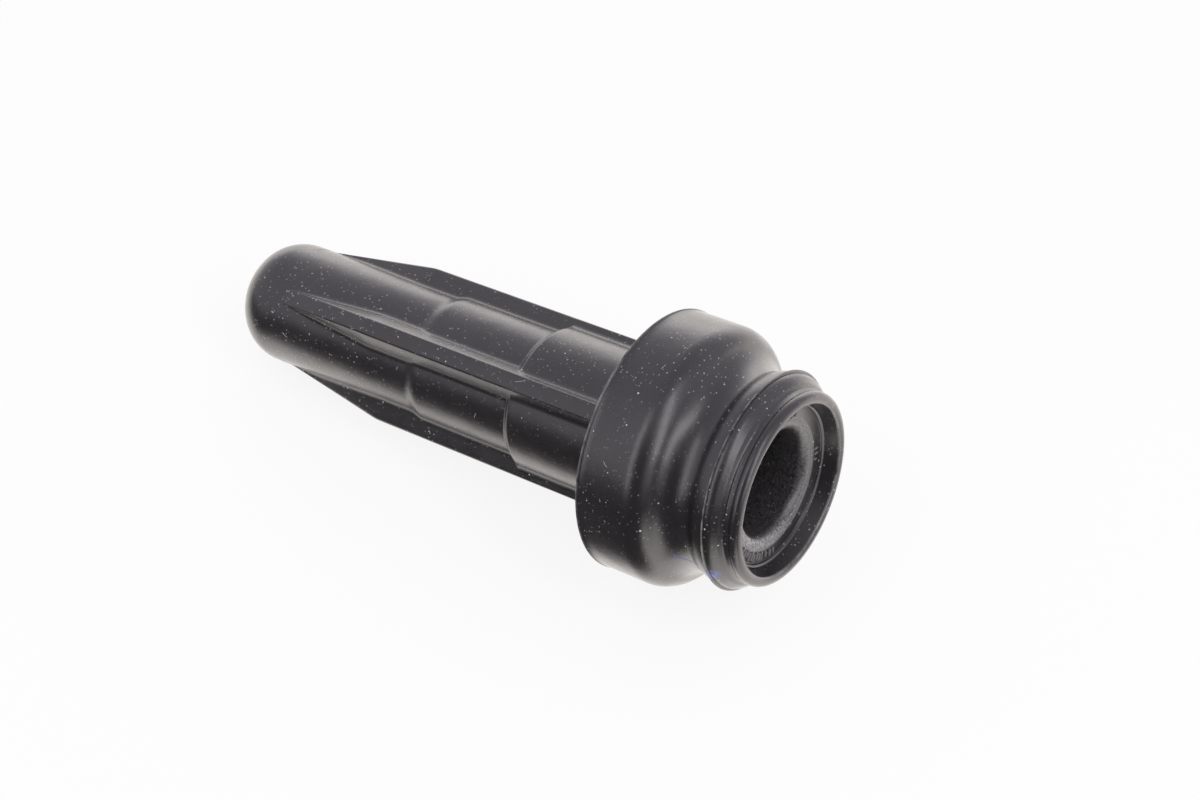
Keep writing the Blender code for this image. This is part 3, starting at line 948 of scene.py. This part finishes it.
def rubber_finish(looks, smudge):
    """Satin black rubber with mould grain, a faint haze, dust, painted edge highlights and a pen
    smudge.
    """
    material, desk, place = new_material(SLOT)
    wrap = desk.add('ShaderNodeAttribute', attribute_name="wrap").outputs['Vector']
    powder, edge = (desk.add('ShaderNodeAttribute', attribute_name=name).outputs['Fac']
                    for name in ("powder", "edge"))

    rubber, dust, ink = ((*tone, 1.0) for tone in (looks.rubber, looks.dust, looks.ink))
    dots, film = dust_layers(desk, place)
    powdery = desk.product(powder, desk.pattern("powder", place))
    # Painted highlight: light lines along three edges, broken up by a cloudy pattern
    highlit_edge = desk.product(edge, desk.pattern("edge_highlight", place))
    dust_and_highlight = desk.greatest(dots, film, desk.product(powdery, COVER["powder"]),
                          desk.product(highlit_edge, COVER["edge_highlight"]))
    hazy = desk.mix(desk.product(desk.pattern("haze", place), COVER["haze"]), rubber, dust)
    away = desk.add('ShaderNodeVectorMath', {0: place, 1: tuple(smudge)}, operation='DISTANCE')
    blot = desk.between(away.outputs['Value'], *(reach * MM for reach in SMUDGE_FADE))
    blot = desk.product(blot, desk.pattern("ink", place), COVER["ink"])
    base = desk.mix(blot, desk.mix(dust_and_highlight, hazy, dust), ink)

    rough = desk.math('MULTIPLY_ADD', desk.noise(place, *ROUGH_NOISE), ROUGH_CHANGE, ROUGH_LEAST)
    rough = desk.math('ADD', rough, desk.product(dust_and_highlight, ROUGH_DUST), clamp=True)
    relief = rubber_relief(desk, place, wrap, dots, powdery)
    desk.principled(Base_Color=base, Roughness=rough, Metallic=0.0, IOR=RUBBER_IOR, Normal=relief)
    return material


def plain_finish(name, tone, roughness, scale, relief):
    """Finish of one colour with a little change of tone and a fine relief."""
    material, desk, place = new_material(name)
    change = desk.noise(place, scale, *TONE_NOISE)
    darker = tuple(DARKER_TONE * part for part in tone)
    base = desk.mix(change, (*darker, 1.0), (*tone, 1.0))
    desk.principled(Base_Color=base, Roughness=roughness, Normal=desk.bump(change, relief * MM))
    return material


class PLUGCAP_OT_moulding(bpy.types.Operator):
    """Build the cap's one rubber skin"""

    bl_idname = "plugcap.moulding"
    bl_label = "Rubber moulding"

    def execute(self, context):
        settings = context.scene.plug_cap
        x, angles, radii = skin_grid(settings.tube, settings.collar, settings.mouth)
        points = at_rest(settings, in_axis_frame(x, angles, radii))
        mesh = grid_mesh("cap_skin", points, around_rows=True)
        self.add_attributes(settings, mesh, x, angles, radii)
        mesh.set_sharp_from_angle(angle=SHARP_ANGLE)
        place, turned = SMUDGE
        smudge, _ = on_collar(settings, np.array([place * MM]), np.radians([turned]))
        piece = show(mesh, rubber_finish(settings.looks, smudge[0]))
        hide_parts(NODE)
        return {'FINISHED'}

    def add_attributes(self, settings, mesh, x, angles, radii):
        """Values for the finish: the way around, and shares of powder and of painted edge
        highlight.
        """
        collar, mouth = settings.collar, settings.mouth
        keep_on_points(mesh, "wrap", self.wrap_ways(collar, x, angles, radii))
        keep_on_points(mesh, "powder", self.powder_shares(mouth, x, angles, radii))
        # Painted highlight: shares of the light lines painted along the rim, the ring's flash and
        # the lip's inner edge
        keep_on_points(mesh, "edge", self.edge_highlight_shares(collar, mouth, x, radii))

    def wrap_ways(self, collar, x, angles, radii):
        """Way along the profile, then the turn as a circle of the ring's radius."""
        steps = np.hypot(np.diff(x[:, 0]), np.diff(radii.min(axis=1)))
        along = np.concatenate([[0.0], np.cumsum(steps)])[:, None] + 0.0 * angles
        radius = collar.ring_radius
        return np.stack([along, radius * np.sin(angles), radius * np.cos(angles)], axis=-1)

    def powder_shares(self, mouth, x, angles, radii):
        """Powder on the socket's edge, thickest at its low side, and thinly down the bore.

        At the depth d below the recess floor, in roundings, it is the band
        exp(-((d - place) / spread)^2), or a share of exp(-d / fade) where that is more. From
        the far side's share the band grows with ((1 + cos a) / 2)^3, a being the turn away
        from the powder's side.
        """
        rounding = mouth.socket_rounding
        depth = (recess_floor(mouth) - x) / rounding
        inside = (radii < mouth.socket_radius + POWDER_AROUND * rounding) & (
            depth < POWDER_DEEPEST) & (depth > -FLOOR_SLACK)
        low_side = (0.5 + 0.5 * np.cos(angles - math.radians(POWDER_SIDE))) ** 3
        band = np.exp(-((depth - POWDER_PLACE) / POWDER_SPREAD) ** 2) * (
            POWDER_FAR + (1 - POWDER_FAR) * low_side)
        bore = POWDER_BORE * np.exp(-depth / POWDER_FADE)
        return np.where(inside, np.maximum(band, bore), 0.0)

    def edge_highlight_shares(self, collar, mouth, x, radii):
        """Thin painted highlight lines on three edges: exp(-(d / w)^2) at the way d along the
        axis.
        """
        def highlit_edge(place, width):
            return np.exp(-((x - place) / (width * MM)) ** 2)

        rim_width, flash_width, lip_width = EDGE_HIGHLIGHT_WIDTHS
        rim_reach, flash_reach, lip_reach = (reach * MM for reach in EDGE_HIGHLIGHT_REACH)
        lip_place = mouth.lip_place + mouth.lip_rounding - mouth.edge_drop
        flash_place = collar.ring_place + FLASH_MIDDLE * collar.flash_width
        rim = highlit_edge(0.0, rim_width) * (radii > collar.rim_radius + rim_reach)
        flash = highlit_edge(flash_place, flash_width) * (radii > collar.ring_radius + flash_reach)
        lip = highlit_edge(lip_place, lip_width) * (np.abs(radii - mouth.lip_edge) < lip_reach)
        return np.maximum(np.maximum(rim, flash), LIP_HIGHLIGHT * lip)


class PLUGCAP_OT_marks(bpy.types.Operator):
    """Build the plain raised ticks on the floor of the mouth's recess"""

    bl_idname = "plugcap.marks"
    bl_label = "Mouth marks"

    def execute(self, context):
        settings = context.scene.plug_cap
        angles, inner, outer = (np.array(part) for part in zip(*TICKS))
        along = np.linspace(0.0, 1.0, TICK_POINTS)
        radii = (inner[:, None] + (outer - inner)[:, None] * along) * MM
        angles = np.radians(angles)[:, None] + 0.0 * along
        x = recess_floor(settings.mouth) + 0.0 * radii
        points = at_rest(settings, in_axis_frame(x, angles, radii))
        ahead = laid_down(settings, np.array([1.0, 0.0, 0.0]))
        mesh = strands("mouth_marks", points, ahead + 0.0 * points, TICK_SIZE)
        # The ticks' light grey is partly dust and partly painted highlight on their ridges
        piece = show(mesh, plain_finish("marks_dust_and_highlight", settings.looks.marks, *TICK_FINISH))
        return {'FINISHED'}


class PLUGCAP_OT_litter(bpy.types.Operator):
    """Lay the pen line and the lint on the skin"""

    bl_idname = "plugcap.litter"
    bl_label = "Pen line and lint"

    def execute(self, context):
        settings = context.scene.plug_cap
        x, angles = drawn_through(PEN_LINE, PEN_POINTS)
        points, normals = on_collar(settings, x * MM, np.radians(angles))
        mesh = strands("pen_line", points, normals, PEN_SIZE)
        show(mesh, plain_finish("pen_ink", settings.looks.ink, *PEN_FINISH))

        places, turns, bends, lengths, heights = (
            np.array(part)[:, None] for part in zip(*FIBRES))
        along = np.linspace(-0.5, 0.5, FIBRE_POINTS)
        x = (places + lengths * along * np.cos(np.radians(bends))) * MM
        curl = FIBRE_CURL * (along ** 2 - 0.25)
        sideways = lengths * (along * np.sin(np.radians(bends)) + curl)
        angles = np.radians(turns) + sideways / heights
        radii = (heights + FIBRE_LIFT) * MM + 0.0 * x
        points, normals = rest_points(settings, x, angles, radii, 0.0)
        mesh = strands("lint", points, normals, FIBRE_SIZE)
        show(mesh, plain_finish("lint_fibre", settings.looks.dust, *FIBRE_FINISH))
        return {'FINISHED'}


class PLUGCAP_OT_studio(bpy.types.Operator):
    """Build the floor, the lamps, the background and the camera"""

    bl_idname = "plugcap.studio"
    bl_label = "Studio"

    def execute(self, context):
        settings = context.scene.plug_cap
        self.add_floor(context, settings.looks)
        self.light_room(context)
        self.add_camera(context)
        context.scene.view_settings.view_transform = 'Standard'
        return {'FINISHED'}

    def add_floor(self, context, looks):
        """A large level floor, which the camera sees as white apart from the cap's shadow."""
        half = FLOOR_HALF
        corners = [(-half, -half, 0.0), (half, -half, 0.0), (half, half, 0.0), (-half, half, 0.0)]
        mesh = bpy.data.meshes.new("floor")
        mesh.from_pydata(corners, [], [(0, 1, 2, 3)])
        floor = bpy.data.objects.new("floor", mesh)
        context.scene.collection.objects.link(floor)
        material, desk, place = new_material("floor_white")
        # The glow is met by camera and mirror rays alone, so it isn't sampled as a lamp
        material.cycles.emission_sampling = 'NONE'
        depth = desk.add('ShaderNodeSeparateXYZ', {0: place}).outputs['Y']
        mirrored = desk.blend(desk.between(depth, *TABLE_EDGE), FRONT_LEVEL, TABLE_LEVEL)
        away = desk.add('ShaderNodeMapping', {
            'Vector': place, 'Location': FLOOR_SPOT, 'Rotation': (0.0, 0.0, SPOT_TURN),
            'Scale': SPOT_SIZE}, vector_type='TEXTURE').outputs[0]
        away = desk.add('ShaderNodeVectorMath', {0: away}, operation='LENGTH')
        spot = desk.product(desk.between(away.outputs['Value'], *SPOT_FADE), SPOT_LEVEL)
        paths = desk.add('ShaderNodeLightPath').outputs
        camera = paths['Is Camera Ray']
        strength = desk.blend(camera, desk.greatest(mirrored, spot), 1.0)
        seen = desk.greatest(desk.product(camera, WHITE_SHARE), paths['Is Glossy Ray'],
                             paths['Is Transmission Ray'])
        matt = desk.add('ShaderNodeBsdfDiffuse', {'Color': (*looks.floor, 1.0)})
        glow = desk.add('ShaderNodeEmission', {
            'Color': desk.mix(camera, WARM_WHITE, PURE_WHITE), 'Strength': strength})
        mixed = desk.add('ShaderNodeMixShader', {
            0: seen, 1: matt.outputs[0], 2: glow.outputs[0]})
        desk.add('ShaderNodeOutputMaterial', {'Surface': mixed.outputs[0]})
        mesh.materials.append(material)

    def light_room(self, context):
        """White room, brightest behind the cap and dim on the camera's side, and soft boxes."""
        world = bpy.data.worlds.new("white_room")
        world.use_nodes = True
        desk = NodeDesk(world.node_tree)
        way = desk.add('ShaderNodeTexCoord').outputs['Generated']
        height = desk.add('ShaderNodeSeparateXYZ', {0: way}).outputs['Z']
        level = desk.blend(desk.between(height, *CEILING_START), WALL_LEVEL, CEILING_LEVEL)
        behind = self.patch(desk, way, BACKDROP, BACKDROP_FADE)
        level = desk.blend(behind, level, BACKDROP_LEVEL)
        along = desk.add('ShaderNodeVectorMath', {0: way, 1: (1.0, 1.0, 0.0)},
                         operation='MULTIPLY').outputs[0]
        along = desk.add('ShaderNodeVectorMath', {0: along}, operation='NORMALIZE').outputs[0]
        dim = desk.product(self.patch(desk, along, DIM_SIDE, DIM_FADE),
                           desk.between(height, *DIM_TOP))
        level = desk.blend(dim, level, DIM_LEVEL)
        camera = desk.add('ShaderNodeLightPath').outputs['Is Camera Ray']
        seen = desk.blend(camera, level, 1.0)
        tint = desk.mix(camera, desk.mix(behind, COOL_WHITE, WARM_WHITE), PURE_WHITE)
        back = desk.add('ShaderNodeBackground', {'Color': tint, 'Strength': seen})
        desk.add('ShaderNodeOutputWorld', {'Surface': back.outputs[0]})
        context.scene.world = world
        for lamp in LAMPS:
            self.add_lamp(context, *lamp)

    def add_lamp(self, context, name, azimuth, elevation, roll, distance, width, height, radiance):
        """A soft box that faces the cap, its power worked out from its radiance and area."""
        lamp = bpy.data.lights.new(name, 'AREA')
        lamp.shape = 'RECTANGLE'
        lamp.color = LAMP_WHITE
        lamp.size, lamp.size_y = width, height
        lamp.energy = radiance * math.pi * width * height
        box = bpy.data.objects.new(name, lamp)
        turn, rise = math.radians(azimuth), math.radians(elevation)
        place = Vector((math.sin(turn) * math.cos(rise), math.cos(turn) * math.cos(rise),
                        math.sin(rise)))
        facing = (-place).to_track_quat('-Z', 'Y') @ Quaternion(
            (0.0, 0.0, 1.0), math.radians(roll))
        box.location = distance * place
        box.rotation_euler = facing.to_euler()
        context.scene.collection.objects.link(box)

    def patch(self, desk, way, middle, fade):
        """1 within one angle of a direction, 0 past the other, from their dot product."""
        full, none = (math.cos(math.radians(turn)) for turn in fade)
        dot = desk.add('ShaderNodeVectorMath', {0: way, 1: middle}, operation='DOT_PRODUCT')
        return desk.between(dot.outputs['Value'], none, full)

    def add_camera(self, context):
        """The camera stands where the photograph's lines of sight meet."""
        data = bpy.data.cameras.new("camera")
        data.sensor_width = SENSOR_WIDTH
        data.lens = SENSOR_WIDTH * FOCAL_PIXELS / PHOTO_WIDTH
        data.clip_start, data.clip_end = CAMERA_CLIP
        camera = bpy.data.objects.new("camera", data)
        camera.location = CAMERA_PLACE
        sight = Vector(CAMERA_TARGET) - camera.location
        camera.rotation_euler = sight.to_track_quat('-Z', 'Y').to_euler()
        context.scene.collection.objects.link(camera)
        context.scene.camera = camera


class PLUGCAP_PT_panel(bpy.types.Panel):
    """Sizes, colours and build buttons of the cap"""

    bl_idname = "PLUGCAP_PT_panel"
    bl_label = "Spark Plug Cap"
    bl_space_type = 'VIEW_3D'
    bl_region_type = 'UI'
    bl_category = "Plug Cap"

    def draw(self, context):
        settings = context.scene.plug_cap
        for title, group in (("Tube", settings.tube), ("Collar", settings.collar),
                             ("Mouth and bore", settings.mouth), ("Looks", settings.looks)):
            box = self.layout.box()
            box.label(text=title)
            for name in group.__annotations__:
                box.prop(group, name)
        for operator in OPERATORS:
            self.layout.operator(operator.bl_idname)


OPERATORS = (PLUGCAP_OT_moulding, PLUGCAP_OT_marks, PLUGCAP_OT_litter, PLUGCAP_OT_studio)
CLASSES = (TubeSizes, CollarSizes, MouthSizes, FinishLooks, CapSettings,
           *OPERATORS, PLUGCAP_PT_panel)


def register():
    """Register the classes and hang the settings on the scene."""
    for item in CLASSES:
        bpy.utils.register_class(item)
    bpy.types.Scene.plug_cap = bpy.props.PointerProperty(type=CapSettings)


def unregister():
    """Take the settings and the classes away again."""
    del bpy.types.Scene.plug_cap
    for item in reversed(CLASSES):
        bpy.utils.unregister_class(item)


def main():
    """Build every piece and the studio."""
    register()
    bpy.ops.plugcap.moulding()
    bpy.ops.plugcap.marks()
    bpy.ops.plugcap.litter()
    bpy.ops.plugcap.studio()
    bpy.context.view_layer.update()


if __name__ == "__main__":
    main()
